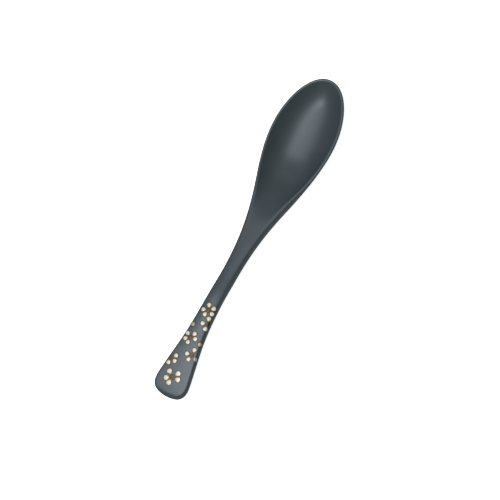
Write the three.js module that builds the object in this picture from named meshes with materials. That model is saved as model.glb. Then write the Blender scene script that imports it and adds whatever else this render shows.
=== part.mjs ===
// A lacquered wooden table spoon with a blossom pattern on the end of its handle.
// The bowl, neck and handle are one carved piece. Each petal and each flower centre is a thin
// raised patch of coloured lacquer laid on the handle's top face.
// Millimetres. X runs from the handle end (-) to the tip of the bowl (+), Z is up, and the
// spoon lies on the heel of its handle and the foot of its bowl, both at Z = 0.
import * as THREE from "three";

// ---- Overall sizes ----
const spoonLength = 190;
const bowlWidth = 38;
const neckWidth = 8.6;
const handleEndWidth = 19.2;
const bowlDepth = 7.8; // rim down to the lowest part of the hollow
const floorThickness = 1.6;

// ---- Where each width falls ----
const tipToBelly = 33.2; // tip of the bowl back to its widest place
const tipToDeepest = 44; // tip of the bowl back to its lowest part
const tipToLip = 15; // where the floor starts to climb steeply to the tip
const tipToShoulder = 55; // where the bowl narrows into the neck
const tipToThroat = 75; // lowest part of the neck
const hollowRunOut = 12; // how far past the throat the hollow fades out
const endToWaist = 71.5; // handle end to its narrowest place
const endToHump = 56.5; // handle end to the top of its arch
const endToCorner = 8.5; // handle end to the start of its rounded corners

// ---- Side view ----
const tipRise = 5.1; // rim at the tip above the rim over the lowest part
const throatDrop = 3.4; // edge at the throat below that rim
const waistHeight = 6.0;
const humpHeight = 7.0;
const heelDip = 0.1; // how far the end would dip below the table before it is trimmed
const heelSlope = 0.43; // how steeply the end comes down to its heel
const footTrim = 0.25; // how much of the round underside is planed off as a foot

// ---- Half height of the side wall, the radius of its corners, and the swell of the faces ----
const endEdge = 2.2;
const waistEdge = 2.8;
const shoulderEdge = 1.3;
const rimEdge = 1.0;
const endRound = 1.2;
const waistRound = 1.6;
const rimRound = 0.6;
const rimLand = 0.8; // flat band round the hollow, inside the rounded corner
const handleCrown = 0.35;
const endCrown = 0.3;
const handleBelly = 1.2;
const endBelly = 0.5;
const throatBelly = 1.0;

// ---- How much shallower the hollow is elsewhere, and the wall there ----
const shoulderShallows = 1.7;
const lipShallows = 1.1;
const tipShallows = 2.8;
const shoulderWall = 2.0;
const lipWall = 2.1;
const hollowFlatness = 2.8; // 2 is a parabola across the bowl, more is a flatter floor
const undersideFlatness = 2.6;

// ---- Plan curve: how far each curve runs straight on, as a share of the span it crosses ----
const tipRoundness = 0.575;
const bellyFullness = 0.495;
const shoulderFullness = 0.32;
const neckSlenderness = 0.51;
const handleStraightness = 0.65;
const flareStraightness = 0.36;
const cornerRoundness = 0.67;
const endFlatness = 0.8;
const flareSlope = 0.14; // half width gained per millimetre at the corner

// ---- Inner ridge that the body's ribs fan out from ----
const ridgeInsetEnd = 8.5;
const ridgeInsetTip = 15;
const ridgeEasing = 1.3;

// ---- Blossom pattern ----
const petalStart = 1.45; // flower centre to the narrow end of a petal
const petalLength = 2.5;
const petalWidth = 2.15;
const petalTaper = 0.35; // 0 is an ellipse, more narrows the end by the centre
const petalHeight = 0.22;
const centreRadius = 0.85;
const centreArm = 0.55; // how far the centre's points reach out between the petals
const centreHeight = 0.16;
const rimHeight = 0.1; // thickness left at the rim of a raised patch
const layingGap = 0.08; // between a patch's underside and the wood
const petalCount = 5;
const petalSides = 14;
const petalSteps = 4; // rings from a petal's middle to its rim
const centreSides = 4 * petalCount;
const centreSteps = 3;

// ---- Fineness of the surfaces ----
const ribsPerSide = 60;
const faceRings = 7;
const cornerRings = 4;
const ringCrowding = 1.5; // 1 is even, more draws the rings of a face towards its edge

// One blossom: its place in blossom radii from the handle end and across towards +Y, its size
// beside the others, and the bearing of each petal in degrees. They are laid by hand, so the
// five petals aren't quite evenly spread, and a blossom near the side keeps only some of them.
const blossoms = [
  { name: "a", along: 12.49, across: -0.23, size: 1, bearings: [-49, 21, 104, 165, 248] },
  { name: "b", along: 10.79, across: -1.05, size: 1, bearings: [18, 105, 177] },
  { name: "c", along: 8.25, across: 0.29, size: 1, bearings: [-27, 60, 123, 178, 274] },
  { name: "d", along: 6.24, across: -1.02, size: 1, bearings: [0, 98, 166, 244] },
  { name: "e", along: 4.79, across: 1.5, size: 1, bearings: [-47, 177, 252] },
  { name: "f", along: 2.59, across: 0.12, size: 1.21, bearings: [-39, 55, 121, 173, 267] },
];
// Two blossoms have their centre round the side, so only one petal of each is laid.
const strayPetals = [
  { name: "g", along: 9.98, across: 1.58, size: 1, bearings: [-90] },
  { name: "h", along: 8.18, across: -2.0, size: 1, bearings: [111] },
];
const blossomRadius = petalStart + petalLength;

const tip = spoonLength;
const belly = tip - tipToBelly;
const deepest = tip - tipToDeepest;
const lip = tip - tipToLip;
const shoulder = tip - tipToShoulder;
const throat = tip - tipToThroat;
const fullTurn = 2 * Math.PI;
const quarterTurn = Math.PI / 2;
const degree = Math.PI / 180;

// A smooth run of values through [place, value] stations, level beyond both ends.
function runThrough(stations) {
  const last = stations.length - 1;
  const slopeAt = stations.map(([place, value], i) => {
    if (i === 0 || i === last) return 0;
    const before = (value - stations[i - 1][1]) / (place - stations[i - 1][0]);
    const after = (stations[i + 1][1] - value) / (stations[i + 1][0] - place);
    return before * after > 0 ? (2 * before * after) / (before + after) : 0;
  });
  return (place) => {
    const at = THREE.MathUtils.clamp(place, stations[0][0], stations[last][0]);
    const i = Math.max(0, stations.findIndex(([end]) => end >= at) - 1);
    const [[start, low], [end, high]] = [stations[i], stations[i + 1]];
    const span = end - start;
    const t = (at - start) / span;
    const ease = t * t * (3 - 2 * t);
    const lead = t * (1 - t) * (1 - t) * span;
    const trail = t * t * (t - 1) * span;
    return low + (high - low) * ease + lead * slopeAt[i] + trail * slopeAt[i + 1];
  };
}

// ---- Runs along the spoon, from the handle end ----
const edgeThickness = runThrough([
  [endToCorner, endEdge],
  [endToWaist, waistEdge],
  [throat, waistEdge],
  [shoulder, shoulderEdge],
  [deepest, rimEdge],
]);
const cornerRadius = runThrough([
  [endToCorner, endRound],
  [endToWaist, waistRound],
  [throat, waistRound],
  [shoulder, rimRound],
]);
const crown = runThrough([
  [endToCorner, endCrown],
  [endToHump, handleCrown],
  [throat, 0],
]);
const hollow = runThrough([
  [throat - hollowRunOut, 0],
  [shoulder, bowlDepth - shoulderShallows],
  [deepest, bowlDepth],
  [lip, bowlDepth - lipShallows],
  [tip, bowlDepth - tipShallows],
]);
const underside = runThrough([
  [endToCorner, endBelly],
  [endToWaist, handleBelly],
  [throat, throatBelly],
  [shoulder, bowlDepth - shoulderShallows + shoulderWall - 2 * shoulderEdge],
  [deepest, bowlDepth + floorThickness - 2 * rimEdge + footTrim],
  [lip, bowlDepth - lipShallows + lipWall - 2 * rimEdge],
  [tip, bowlDepth - tipShallows],
]);
// The first and last stations lie off the spoon, and set the slope at its two ends.
const rimCentre = bowlDepth + floorThickness - rimEdge;
const heelHeight = endEdge - heelDip;
const edgeHeight = runThrough([
  [-endEdge, heelHeight - 2 * endEdge * heelSlope],
  [endEdge, heelHeight],
  [endToHump, humpHeight],
  [endToWaist, waistHeight],
  [throat, rimCentre - throatDrop],
  [deepest, rimCentre],
  [tip, rimCentre + tipRise],
  [tip + tipToDeepest, rimCentre + 2 * tipRise],
]);

// ---- Half the outline in plan, from the tip to the handle end ----
function outlineCurve() {
  const point = (along, across) => new THREE.Vector2(along, across);
  const halfBowl = bowlWidth / 2;
  const halfNeck = neckWidth / 2;
  const halfEnd = handleEndWidth / 2;
  const waistToBelly = belly - endToWaist;
  const cornerToWaist = endToWaist - endToCorner;
  const flareRun = flareStraightness * cornerToWaist;
  const cornerRun = cornerRoundness * endToCorner;
  const path = new THREE.CurvePath();
  const add = (...points) => path.add(new THREE.CubicBezierCurve(...points));
  add(
    point(tip, 0),
    point(tip, tipRoundness * halfBowl),
    point(belly + bellyFullness * tipToBelly, halfBowl),
    point(belly, halfBowl),
  );
  add(
    point(belly, halfBowl),
    point(belly - shoulderFullness * waistToBelly, halfBowl),
    point(endToWaist + neckSlenderness * waistToBelly, halfNeck),
    point(endToWaist, halfNeck),
  );
  add(
    point(endToWaist, halfNeck),
    point(endToWaist - handleStraightness * cornerToWaist, halfNeck),
    point(endToCorner + flareRun, halfEnd - flareSlope * flareRun),
    point(endToCorner, halfEnd),
  );
  add(
    point(endToCorner, halfEnd),
    point(endToCorner - cornerRun, halfEnd + flareSlope * cornerRun),
    point(0, endFlatness * halfEnd),
    point(0, 0),
  );
  return path;
}
const outline = outlineCurve();
outline.arcLengthDivisions = 800;

// A rib runs from the inner ridge out to the outline. t goes from 0 at the tip to 1 at the end.
function ribAt(t) {
  const edge = outline.getPointAt(THREE.MathUtils.clamp(t, 0, 1));
  const fromEnd = Math.exp(-edge.x / (ridgeEasing * ridgeInsetEnd));
  const fromTip = Math.exp(-(tip - edge.x) / (ridgeEasing * ridgeInsetTip));
  const ridge = edge.x + ridgeInsetEnd * fromEnd - ridgeInsetTip * fromTip;
  const length = Math.hypot(edge.x - ridge, edge.y);
  const radius = cornerRadius(edge.x);
  const wall = edgeThickness(edge.x) - radius; // half of the upright stretch of the side
  const faceShare = 1 - radius / length;
  return { edge, ridge, length, radius, wall, faceShare, landShare: 1 - rimLand / length };
}

function placeOnRib(rib, reach, height) {
  const along = rib.ridge + (rib.edge.x - rib.ridge) * reach;
  const z = Math.max(0, edgeHeight(along) + height(along));
  return new THREE.Vector3(along - spoonLength / 2, rib.edge.y * reach, z);
}

// The stretches of a rib's skin: top face, rounded corners with the wall between, bottom face.
function topFace(rib, r) {
  const dish = Math.max(0, 1 - (r / rib.landShare) ** hollowFlatness);
  const swell = (x) => crown(x) * (1 - r ** 2) - hollow(x) * dish;
  return placeOnRib(rib, r * rib.faceShare, (x) => edgeThickness(x) + swell(x));
}

// angle is a quarter turn where a corner meets its face and 0 where it meets the wall.
function corner(rib, angle, face) {
  const reach = 1 - (rib.radius * (1 - Math.cos(angle))) / rib.length;
  return placeOnRib(rib, reach, () => face * (rib.wall + rib.radius * Math.sin(angle)));
}

function bottomFace(rib, r) {
  const depth = (x) => edgeThickness(x) + underside(x) * (1 - r ** undersideFlatness);
  return placeOnRib(rib, r * rib.faceShare, (x) => -depth(x));
}

function ribSkin(rib) {
  const skin = [];
  const outward = (i) => 1 - (1 - i / faceRings) ** ringCrowding;
  for (let i = 0; i <= faceRings; i += 1) skin.push(topFace(rib, rib.landShare * outward(i)));
  for (const face of [1, -1]) {
    for (let i = 0; i <= cornerRings; i += 1) {
      const share = face > 0 ? 1 - i / cornerRings : i / cornerRings;
      skin.push(corner(rib, quarterTurn * share, face));
    }
  }
  for (let i = faceRings - 1; i >= 0; i -= 1) skin.push(bottomFace(rib, outward(i)));
  return skin;
}

// ---- Meshes ----
function meshFrom(name, points, faces, material) {
  const geometry = new THREE.BufferGeometry().setFromPoints(points);
  geometry.setIndex(faces);
  geometry.computeVertexNormals();
  const mesh = new THREE.Mesh(geometry, material);
  mesh.name = name;
  return mesh;
}

function lacquer(color, roughness, metalness) {
  return new THREE.MeshStandardMaterial({ color, roughness, metalness });
}

// Both sides share the ridge points, so the two middle lines close the body.
function spoonBody() {
  const ribCount = 2 * ribsPerSide;
  const points = [];
  for (let i = 0; i < ribCount; i += 1) {
    const near = i <= ribsPerSide;
    const skin = ribSkin(ribAt((near ? i : ribCount - i) / ribsPerSide));
    skin.forEach((point) => points.push(near ? point : point.setY(-point.y)));
  }
  const skinLength = points.length / ribCount;
  const onRidge = (ring) => ring === 0 || ring === skinLength - 1;
  const pointAt = (rib, ring) => {
    const wrapped = rib % ribCount;
    const shared = onRidge(ring) && wrapped > ribsPerSide ? ribCount - wrapped : wrapped;
    return shared * skinLength + ring;
  };
  const faces = [];
  for (let i = 0; i < ribCount; i += 1) {
    for (let ring = 0; ring < skinLength - 1; ring += 1) {
      const a = pointAt(i, ring);
      const b = pointAt(i, ring + 1);
      const c = pointAt(i + 1, ring + 1);
      const d = pointAt(i + 1, ring);
      faces.push(a, b, c, a, c, d);
    }
  }
  return meshFrom("spoon_body", points, faces, lacquer("#4d5458", 0.55, 0));
}

// ---- Laying a flat pattern on the handle's skin ----
function bisect(low, high, tooHigh) {
  let [least, most] = [low, high];
  for (let i = 0; i < 30; i += 1) {
    const middle = (least + most) / 2;
    if (tooHigh(middle)) most = middle;
    else least = middle;
  }
  return (least + most) / 2;
}

// The rib through a place in plan, and how far out along it the place lies.
function ribThrough(along, across) {
  const ribFor = (reach) => {
    const falls = (rib) => rib.ridge + (rib.edge.x - rib.ridge) * reach < along;
    return ribAt(bisect(0, 1, (t) => falls(ribAt(t))));
  };
  const reach = bisect(0, 2, (r) => r * ribFor(r).edge.y > Math.abs(across));
  return { rib: ribFor(reach), reach };
}

// The skin's point under a pattern place. Past the flat face the pattern wraps round the corner.
function onSkin(along, across) {
  const { rib, reach } = ribThrough(along, across);
  const past = (reach - rib.faceShare) * rib.length;
  const turn = Math.min(quarterTurn, past / rib.radius);
  const below = Math.max(0, past - quarterTurn * rib.radius);
  const onFace = past < 0;
  const point = onFace ? topFace(rib, reach / rib.faceShare) : corner(rib, quarterTurn - turn, 1);
  point.z -= below;
  return across < 0 ? point.setY(-point.y) : point;
}

function aboveSkin(along, across, lift) {
  const step = 0.05;
  const here = onSkin(along, across);
  const ahead = onSkin(along + step, across).sub(onSkin(along - step, across));
  const aside = onSkin(along, across + step).sub(onSkin(along, across - step));
  return here.addScaledVector(ahead.cross(aside).normalize(), lift);
}

// A thin closed patch that follows the skin: its rings shrink to a middle point on both faces.
function patch(name, outlineAt, sides, rings, height, material) {
  const points = [];
  const layer = (liftAt) => {
    const [middleX, middleY] = outlineAt(0, 0);
    points.push(aboveSkin(middleX, middleY, liftAt(0)));
    for (let ring = 1; ring <= rings; ring += 1) {
      for (let side = 0; side < sides; side += 1) {
        const [x, y] = outlineAt((fullTurn * side) / sides, ring / rings);
        points.push(aboveSkin(x, y, liftAt(ring / rings)));
      }
    }
  };
  layer((r) => layingGap + rimHeight + (height - rimHeight) * (1 - r ** 2));
  layer(() => layingGap);
  const perLayer = 1 + rings * sides;
  const at = (low, ring, side) => low * perLayer + 1 + (ring - 1) * sides + (side % sides);
  const faces = [];
  const quad = (a, b, c, d) => faces.push(a, b, c, a, c, d);
  for (let side = 0; side < sides; side += 1) {
    faces.push(0, at(0, 1, side), at(0, 1, side + 1));
    faces.push(perLayer, at(1, 1, side + 1), at(1, 1, side));
    for (let ring = 1; ring < rings; ring += 1) {
      const [a, b] = [at(0, ring, side), at(0, ring + 1, side)];
      const [c, d] = [at(0, ring + 1, side + 1), at(0, ring, side + 1)];
      quad(a, b, c, d);
      quad(a + perLayer, d + perLayer, c + perLayer, b + perLayer);
    }
    const [rim, nextRim] = [at(0, rings, side), at(0, rings, side + 1)];
    quad(rim, rim + perLayer, nextRim + perLayer, nextRim);
  }
  return meshFrom(name, points, faces, material);
}

// A teardrop, its narrow end towards the blossom's centre.
function petal(name, blossom, bearing) {
  const { size } = blossom;
  const [cos, sin] = [Math.cos(bearing * degree), Math.sin(bearing * degree)];
  const outlineAt = (angle, r) => {
    const width = 1 + petalTaper * Math.cos(angle);
    const out = size * (petalStart + 0.5 * petalLength * (1 + r * Math.cos(angle)));
    const aside = size * 0.5 * petalWidth * r * Math.sin(angle) * width;
    return [
      blossom.along * blossomRadius + out * cos - aside * sin,
      blossom.across * blossomRadius + out * sin + aside * cos,
    ];
  };
  const cream = lacquer("#f3e8d8", 0.45, 0.1);
  return patch(name, outlineAt, petalSides, petalSteps, petalHeight, cream);
}

// A small star whose points reach out between the petals.
function blossomCentre(name, blossom) {
  const outlineAt = (angle, r) => {
    const point = Math.sin(0.5 * petalCount * angle) ** 2;
    const radius = blossom.size * (centreRadius + centreArm * point) * r;
    const bearing = angle + blossom.bearings[0] * degree;
    return [
      blossom.along * blossomRadius + radius * Math.cos(bearing),
      blossom.across * blossomRadius + radius * Math.sin(bearing),
    ];
  };
  const bronze = lacquer("#5a4632", 0.45, 0.5);
  return patch(name, outlineAt, centreSides, centreSteps, centreHeight, bronze);
}

const spoon = new THREE.Group();
spoon.name = "painted_spoon";
spoon.add(spoonBody());
for (const blossom of blossoms) {
  spoon.add(blossomCentre(`flower_${blossom.name}_centre`, blossom));
}
for (const blossom of [...blossoms, ...strayPetals]) {
  blossom.bearings.forEach((bearing, i) => {
    spoon.add(petal(`flower_${blossom.name}_petal_${i + 1}`, blossom, bearing));
  });
}

export default spoon;
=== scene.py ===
# %% [markdown]
# # A lacquered wooden spoon with cream blossoms
# The imported model gives the frame: where the spoon lies, how big it is, and a faceted solid for
# each piece. This script gives every piece its finished surface and material, and sets up a
# plain studio with a camera.

import math
import random

import bmesh
import bpy
from mathutils import Matrix, Vector


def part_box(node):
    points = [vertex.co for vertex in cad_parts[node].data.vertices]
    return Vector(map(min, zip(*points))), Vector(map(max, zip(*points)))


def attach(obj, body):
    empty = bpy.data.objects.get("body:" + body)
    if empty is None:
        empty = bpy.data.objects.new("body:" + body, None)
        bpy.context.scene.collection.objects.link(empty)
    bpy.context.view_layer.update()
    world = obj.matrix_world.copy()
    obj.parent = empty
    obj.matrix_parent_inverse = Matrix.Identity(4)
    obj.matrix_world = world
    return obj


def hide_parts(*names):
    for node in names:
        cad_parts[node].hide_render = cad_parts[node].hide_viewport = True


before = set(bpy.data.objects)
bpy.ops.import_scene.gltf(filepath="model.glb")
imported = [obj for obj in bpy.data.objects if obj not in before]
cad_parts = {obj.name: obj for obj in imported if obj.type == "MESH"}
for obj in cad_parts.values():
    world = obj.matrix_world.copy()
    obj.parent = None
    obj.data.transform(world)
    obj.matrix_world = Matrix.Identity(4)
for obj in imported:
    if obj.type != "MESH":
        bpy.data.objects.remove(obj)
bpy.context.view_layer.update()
MM = 0.001
TINT_SEED = 19  # the petals' tints are random, but the same on every run
random.seed(TINT_SEED)

# %% [markdown]
# ## The camera
# A spoon is looked at from almost straight above, so that the bowl reads as a full egg. The
# camera leans a little towards the spoon's right side and its handle end, which shows a sliver
# of side wall. A long lens keeps the handle and the bowl at the same scale. The spoon lies
# across the picture, so the camera is rolled instead of turning the spoon.

# %% Place the camera
LEAN_TO_SIDE = math.radians(21.3)
LEAN_TO_HANDLE = math.radians(12.0)
SPOON_SLANT = math.radians(61.2)  # how steeply the spoon climbs across the picture
CAMERA_DISTANCE = 900 * MM
SENSOR_WIDTH_MM = 36
PICTURE_WIDTH = 264.6 * MM  # width of the strip that the picture spans at the spoon
AIM = Vector((0, 0, 6 * MM))
AIM_RIGHT = -0.1 * MM  # how far the camera is slid across the picture from AIM
AIM_DOWN = 6.9 * MM  # the spoon lies a little above the middle of the picture


def make_camera():
    away = Vector((
        -math.sin(LEAN_TO_HANDLE) * math.cos(LEAN_TO_SIDE),
        -math.sin(LEAN_TO_SIDE),
        math.cos(LEAN_TO_HANDLE) * math.cos(LEAN_TO_SIDE),
    ))
    along = (Vector((1, 0, 0)) - away * away.x).normalized()
    beside = along.cross(away)
    right = along * math.cos(SPOON_SLANT) + beside * math.sin(SPOON_SLANT)
    up = away.cross(right)
    data = bpy.data.cameras.new("studio_camera")
    data.sensor_width = SENSOR_WIDTH_MM
    data.lens = data.sensor_width * CAMERA_DISTANCE / PICTURE_WIDTH
    camera = bpy.data.objects.new("studio_camera", data)
    place = AIM + away * CAMERA_DISTANCE + right * AIM_RIGHT - up * AIM_DOWN
    turn = Matrix((right, up, away)).transposed().to_4x4()
    camera.matrix_world = Matrix.Translation(place) @ turn
    bpy.context.scene.collection.objects.link(camera)
    bpy.context.scene.camera = camera
    return camera


print("lens in mm:", round(make_camera().data.lens, 1))

# %% [markdown]
# ## Helpers for materials
# Colours are written as the hex values seen on a screen, and one function turns them to the
# linear numbers that the shader works in. A pattern's scale comes from a real size: a noise
# texture on object coordinates has blotches about one metre across at scale 1, so a blotch of
# some millimetres needs a scale of 1000 divided by that size.

# %% Material helpers
def linear(hex_colour):
    channels = [int(hex_colour[i:i + 2], 16) / 255 for i in (1, 3, 5)]
    return [c / 12.92 if c <= 0.04045 else ((c + 0.055) / 1.055) ** 2.4 for c in channels] + [1]


def scale_of(size_mm):
    return 1000 / size_mm


def add_node(tree, kind, settings=None, **inputs):
    """Adds a node. settings are its own properties; inputs are values or other nodes' sockets."""
    node = tree.nodes.new(kind)
    for name, value in (settings or {}).items():
        setattr(node, name, value)
    for name, value in inputs.items():
        socket = node.inputs[int(name[2:]) if name.startswith("in") else name.replace("_", " ")]
        if isinstance(value, bpy.types.NodeSocket):
            tree.links.new(value, socket)
        else:
            socket.default_value = value
    return node


def new_material(name, **shader_values):
    material = bpy.data.materials.new(name)
    material.use_nodes = True
    shader = material.node_tree.nodes["Principled BSDF"]
    for socket, value in shader_values.items():
        shader.inputs[socket.replace("_", " ")].default_value = value
    return material, material.node_tree, shader


def blend_colours(tree, factor, first, second):
    mix = add_node(tree, "ShaderNodeMix", {"data_type": "RGBA"})
    tree.links.new(factor, mix.inputs["Factor"])
    for socket, colour in ((mix.inputs[6], first), (mix.inputs[7], second)):
        if isinstance(colour, str):
            socket.default_value = linear(colour)
        else:
            tree.links.new(colour, socket)
    return mix.outputs[2]


def spread(tree, value, low, high, to_low=0.0, to_high=1.0):
    limits = {"in1": low, "in2": high, "in3": to_low, "in4": to_high}
    return add_node(tree, "ShaderNodeMapRange", None, in0=value, **limits).outputs[0]


# %% [markdown]
# ## Matte lacquer over carved wood
# The body is carved from one blank, then sprayed with several coats of pigmented lacquer, the
# last with a matting agent. The eye sees a dark slate colour, a soft wide highlight in place of
# a sharp reflection, and a fine frost. Under the coats the wood's pores still stand a few
# hundredths of a millimetre proud, drawn out along the grain, which runs down the spoon. Real
# matting grains are far finer than a render can show, so the frost is drawn coarser than it is.

# %% Body lacquer
LACQUER_IOR = 1.5
FROST_MM = 0.35
CLOUD_MM = 14  # blotches where the spray fell a little thicker
PORE_LENGTH_MM = 9
PORE_WIDTH_MM = 0.5
PORE_HEIGHT = 0.02 * MM
FROST_HEIGHT = 0.01 * MM


def make_body_lacquer():
    material, tree, shader = new_material(
        "matte_sprayed_lacquer", IOR=LACQUER_IOR, Specular_IOR_Level=0.5
    )
    place = add_node(tree, "ShaderNodeTexCoord").outputs["Object"]
    frost = add_node(
        tree, "ShaderNodeTexNoise", Vector=place, Scale=scale_of(FROST_MM), Detail=3.0
    ).outputs["Fac"]
    cloud = add_node(
        tree, "ShaderNodeTexNoise", Vector=place, Scale=scale_of(CLOUD_MM), Detail=2.0
    ).outputs["Fac"]
    stretch = (scale_of(PORE_LENGTH_MM), scale_of(PORE_WIDTH_MM), scale_of(PORE_WIDTH_MM))
    along_grain = add_node(
        tree, "ShaderNodeMapping", Vector=place, Scale=stretch
    ).outputs["Vector"]
    pores = add_node(
        tree, "ShaderNodeTexNoise", Vector=along_grain, Scale=1.0, Detail=2.0
    ).outputs["Fac"]
    ground = blend_colours(tree, spread(tree, cloud, 0.3, 0.7), "#32393b", "#363e40")
    colour = blend_colours(tree, spread(tree, frost, 0.35, 0.75, 0.0, 0.35), ground, "#404a4d")
    tree.links.new(colour, shader.inputs["Base Color"])
    tree.links.new(spread(tree, frost, 0.3, 0.7, 0.42, 0.5), shader.inputs["Roughness"])
    pore_bump = add_node(
        tree, "ShaderNodeBump", Height=pores, Strength=0.12, Distance=PORE_HEIGHT
    )
    frost_bump = add_node(
        tree,
        "ShaderNodeBump",
        Height=frost,
        Strength=0.2,
        Distance=FROST_HEIGHT,
        Normal=pore_bump.outputs[0],
    )
    tree.links.new(frost_bump.outputs[0], shader.inputs["Normal"])
    return material


BODY_LACQUER = make_body_lacquer()
print("made", BODY_LACQUER.name)

# %% [markdown]
# ## Raised cream lacquer and bronze powder
# Each petal is a drop of thick cream lacquer that levels into a low dome. A little gold powder
# is dusted on while it is wet, more at the narrow end, so the petal warms from ivory at its tip
# to pale gold by the flower's centre. The centres and the thin lines round the petals are
# bronze powder in clear lacquer, which is dull because every grain lies at its own angle. The
# grains are drawn several times their real size, so that they show.

# %% Petal and bronze lacquers
POWDER_MM = 0.12
POWDER_HEIGHT = 0.02 * MM
CREAM_ROUGHNESS = 0.38


def make_cream_lacquer():
    material, tree, shader = new_material(
        "raised_cream_lacquer",
        IOR=LACQUER_IOR,
        Roughness=CREAM_ROUGHNESS,
        Coat_Weight=0.25,
        Coat_Roughness=0.2,
    )
    place = add_node(tree, "ShaderNodeTexCoord").outputs["Object"]
    reach, tint, lit_share = [
        add_node(tree, "ShaderNodeAttribute", {"attribute_name": "petal_" + kind}).outputs["Fac"]
        for kind in ("reach", "tint", "lit_share")
    ]
    powder = add_node(
        tree, "ShaderNodeTexNoise", Vector=place, Scale=scale_of(POWDER_MM), Detail=1.0
    ).outputs["Fac"]
    ivory = blend_colours(tree, tint, "#d2c5b0", "#cec69c")
    warmed = blend_colours(tree, spread(tree, reach, 0.0, 0.45), "#b99a6e", ivory)
    dusted = blend_colours(tree, spread(tree, powder, 0.6, 0.8, 0.0, 0.25), warmed, "#c4a87a")
    # a petal round the spoon's side is blended towards the slate colour: painted shade
    side_shaded = blend_colours(tree, lit_share, "#3c464a", dusted)
    tree.links.new(side_shaded, shader.inputs["Base Color"])
    return material


def make_bronze_lacquer():
    material, tree, shader = new_material("bronze_powder_lacquer", Metallic=0.75)
    place = add_node(tree, "ShaderNodeTexCoord").outputs["Object"]
    powder = add_node(
        tree, "ShaderNodeTexNoise", Vector=place, Scale=scale_of(POWDER_MM), Detail=2.0
    ).outputs["Fac"]
    colour = blend_colours(tree, spread(tree, powder, 0.3, 0.7), "#37291c", "#61492f")
    tree.links.new(colour, shader.inputs["Base Color"])
    tree.links.new(spread(tree, powder, 0.3, 0.7, 0.4, 0.6), shader.inputs["Roughness"])
    bump = add_node(tree, "ShaderNodeBump", Height=powder, Strength=0.4, Distance=POWDER_HEIGHT)
    tree.links.new(bump.outputs[0], shader.inputs["Normal"])
    return material


CREAM_LACQUER = make_cream_lacquer()
BRONZE_LACQUER = make_bronze_lacquer()
print("made", CREAM_LACQUER.name, "and", BRONZE_LACQUER.name)

# %% [markdown]
# ## From a faceted solid to a smooth piece
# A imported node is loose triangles. A copy of it is merged along its shared corners, its
# triangles are paired back into four-sided faces, and a Subdivision Surface rounds it. Four
# sides matter: they flow along and across the spoon as a carver's strokes would, so the
# highlight runs smoothly where triangles would make it ripple.

# %% Helpers for pieces
WELD = 0.002 * MM
PAIRING_ANGLE = math.radians(60)  # the most that two paired triangles may bend or skew
SMOOTHING = 2


def copy_of_node(node):
    mesh = bmesh.new()
    mesh.from_mesh(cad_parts[node].data)
    bmesh.ops.remove_doubles(mesh, verts=mesh.verts, dist=WELD)
    return mesh


def pair_triangles(mesh):
    bmesh.ops.join_triangles(
        mesh,
        faces=mesh.faces,
        angle_face_threshold=PAIRING_ANGLE,
        angle_shape_threshold=PAIRING_ANGLE,
    )


def finish_piece(name, mesh, material, replaced=()):
    for face in mesh.faces:
        face.smooth = True
    data = bpy.data.meshes.new(name)
    mesh.to_mesh(data)
    mesh.free()
    data.materials.append(material)
    piece = bpy.data.objects.new(name, data)
    bpy.context.scene.collection.objects.link(piece)
    rounding = piece.modifiers.new("rounding", "SUBSURF")
    rounding.levels = rounding.render_levels = SMOOTHING
    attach(piece, "root")
    if replaced:
        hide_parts(*replaced)
    return piece


# %% [markdown]
# ## The carved body
# Bowl, rim, neck and handle are one piece of wood, so they are one mesh here.

# %% Body
def make_body():
    mesh = copy_of_node("spoon_body")
    pair_triangles(mesh)
    return finish_piece("spoon_body_lacquered", mesh, BODY_LACQUER, ["spoon_body"])


body = make_body()
print("body faces before rounding:", len(body.data.polygons))

# %% [markdown]
# ## Petals
# Each petal's solid is copied and rounded. Three numbers are stored on its corners for the
# material:
# how far out from the blossom's centre the corner lies, the petal's own tint, and how much of its
# cream colour is kept. A petal that lies round the spoon's side is blended part way towards the
# slate colour, as painted shade for a side that faces away from the light.

# %% Petals
# share of the cream colour kept on a petal round the side; the rest is slate, as painted shade
SIDE_LIT_SHARE = 0.42
STEEP = 0.9  # upward share of a petal's direction below which it lies round the side
TOP_FACE = 0.3  # upward share of a face's direction above which it belongs to the top


def upward_of(mesh):
    """The direction that a thin patch's top faces, on average."""
    mesh.normal_update()
    top = [face for face in mesh.faces if face.normal.z > TOP_FACE]
    return sum((face.normal * face.calc_area() for face in top), Vector()).normalized()


def middle_of(node):
    low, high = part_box(node)
    return (low + high) / 2


def centre_near(petal_node):
    blossom = petal_node.rsplit("_petal_", 1)[0]
    centre = blossom + "_centre"
    return middle_of(centre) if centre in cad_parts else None


def make_petal(node):
    mesh = copy_of_node(node)
    middle = middle_of(node)
    centre = centre_near(node)
    outward = (middle - centre).normalized() if centre else Vector((0, -middle.y, 0)).normalized()
    spans = [(vert.co - middle).dot(outward) for vert in mesh.verts]
    low, high = min(spans), max(spans)
    tint = random.random() ** 2
    # petals round the side, or without a blossom centre, get the painted shade in the material
    round_the_side = centre is None or upward_of(mesh).z < STEEP
    lit_share = SIDE_LIT_SHARE if round_the_side else 1.0
    layers = [mesh.verts.layers.float.new("petal_" + kind) for kind in ("reach", "tint", "lit_share")]
    for vert, span in zip(mesh.verts, spans):
        for layer, value in zip(layers, ((span - low) / (high - low), tint, lit_share)):
            vert[layer] = value
    name = node.replace("flower", "blossom")
    return finish_piece(name, mesh, CREAM_LACQUER, [node])


petal_nodes = sorted(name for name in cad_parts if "_petal_" in name)
petals = [make_petal(node) for node in petal_nodes]
print("petals:", len(petals))

# %% [markdown]
# ## Bronze keylines
# Before the cream is laid, each petal is outlined in bronze powder with a fine brush. The line
# is a low bead that hugs the petal's foot. It is grown from the petal's own underside: the
# boundary is run out sideways by the line's width, the underside is dropped, and the strip that
# is left is raised into a bead.

# %% Keylines
LINE_WIDTH = 0.32 * MM
LINE_HEIGHT = 0.07 * MM
UNDERSIDE = -0.5  # upward share of a face's direction below which it is underside


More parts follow.
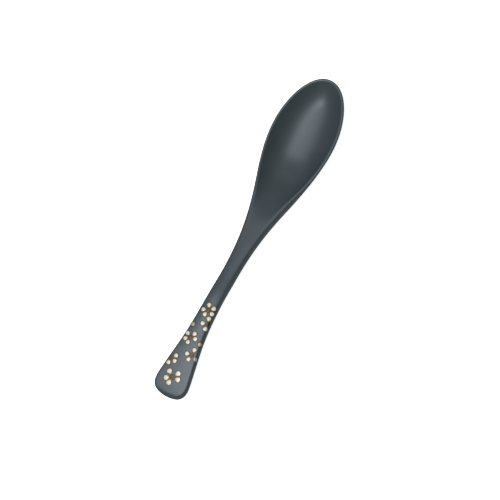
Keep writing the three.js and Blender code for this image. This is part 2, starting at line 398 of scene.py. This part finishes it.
def make_keyline(node):
    mesh = copy_of_node(node)
    up = upward_of(mesh)
    rest = [face for face in mesh.faces if face.normal.dot(up) > UNDERSIDE]
    bmesh.ops.delete(mesh, geom=rest, context="FACES")
    middle = sum((vert.co for vert in mesh.verts), Vector()) / len(mesh.verts)
    inner = list(mesh.faces)
    rim = [edge for edge in mesh.edges if edge.is_boundary]
    grown = bmesh.ops.extrude_edge_only(mesh, edges=rim)["geom"]
    for vert in (part for part in grown if isinstance(part, bmesh.types.BMVert)):
        sideways = vert.co - middle
        sideways -= up * sideways.dot(up)
        vert.co += sideways.normalized() * LINE_WIDTH
    bmesh.ops.delete(mesh, geom=inner, context="FACES")
    raised = bmesh.ops.extrude_face_region(mesh, geom=mesh.faces[:], use_keep_orig=True)["geom"]
    raised = [part for part in raised if isinstance(part, bmesh.types.BMVert)]
    bmesh.ops.translate(mesh, verts=raised, vec=up * LINE_HEIGHT)
    bmesh.ops.recalc_face_normals(mesh, faces=mesh.faces)
    name = node.replace("flower", "blossom").replace("petal", "keyline")
    return finish_piece(name, mesh, BRONZE_LACQUER)


keylines = [make_keyline(node) for node in petal_nodes]
print("keylines:", len(keylines))

# %% [markdown]
# ## Flower centres
# The bronze centre is dabbed on where the petals meet, as a low star whose points run up between
# them. Its solid already has that shape, so it only needs rounding and the powder finish.

# %% Flower centres
def make_centre(node):
    mesh = copy_of_node(node)
    name = node.replace("flower", "blossom")
    return finish_piece(name, mesh, BRONZE_LACQUER, [node])


centre_nodes = sorted(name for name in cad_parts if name.endswith("_centre"))
centres = [make_centre(node) for node in centre_nodes]
print("flower centres:", len(centres))

# %% [markdown]
# ## The studio
# A plain pale floor and one big soft light. The light hangs overhead, a little to the spoon's
# left and drawn out towards its handle, so the floor of the hollow and the sloping end of the
# handle catch it while the hollow's steep walls and the spoon's sides stay dark. The room is
# dim. The floor is a sheet of white acrylic lit from below, which washes out the spoon's shadow.
# It isn't mirrored in the lacquer, as if the spoon lay on a clear pane well above it. Sizes and
# places in the studio are in metres.

# %% Floor, light and world
SOFT_BOX_PLACE = (-0.19, 0.17, 0.95)
SOFT_BOX_LENGTH = 0.47
SOFT_BOX_WIDTH = 0.43
SOFT_BOX_WATTS = 9.2
ROOM_STRENGTH = 0.26
TABLE_GLOW = 0.85
FLOOR_REACH = 12  # from the middle to an edge, so that low views still end on white
FLOOR_GAP = 0.02 * MM  # keeps the floor from flickering through the flats that rest on it


def make_floor():
    mesh = bmesh.new()
    bmesh.ops.create_grid(mesh, x_segments=1, y_segments=1, size=FLOOR_REACH)
    bmesh.ops.translate(mesh, verts=mesh.verts, vec=(0, 0, -FLOOR_GAP))
    data = bpy.data.meshes.new("studio_floor")
    mesh.to_mesh(data)
    mesh.free()
    floor = bpy.data.objects.new("studio_floor", data)
    material, tree, shader = new_material("lit_white_acrylic", Roughness=0.9)
    shader.inputs["Base Color"].default_value = linear("#f7f7f6")
    shader.inputs["Emission Color"].default_value = linear("#ffffff")
    shader.inputs["Emission Strength"].default_value = TABLE_GLOW
    data.materials.append(material)
    bpy.context.scene.collection.objects.link(floor)
    floor.visible_glossy = False


def make_soft_box():
    data = bpy.data.lights.new("soft_box", "AREA")
    data.shape = "RECTANGLE"
    data.size = SOFT_BOX_LENGTH
    data.size_y = SOFT_BOX_WIDTH
    data.energy = SOFT_BOX_WATTS
    data.color = linear("#edf5ff")[:3]
    light = bpy.data.objects.new("soft_box", data)
    light.location = SOFT_BOX_PLACE
    light.rotation_euler = (-Vector(SOFT_BOX_PLACE)).to_track_quat("-Z", "Y").to_euler()
    bpy.context.scene.collection.objects.link(light)


def make_world():
    world = bpy.data.worlds.new("studio_world")
    bpy.context.scene.world = world
    world.use_nodes = True
    background = world.node_tree.nodes["Background"]
    background.inputs["Color"].default_value = linear("#f4f7fa")
    background.inputs["Strength"].default_value = ROOM_STRENGTH


make_floor()
make_world()
make_soft_box()
bpy.context.scene.view_settings.view_transform = "Standard"
print("studio ready")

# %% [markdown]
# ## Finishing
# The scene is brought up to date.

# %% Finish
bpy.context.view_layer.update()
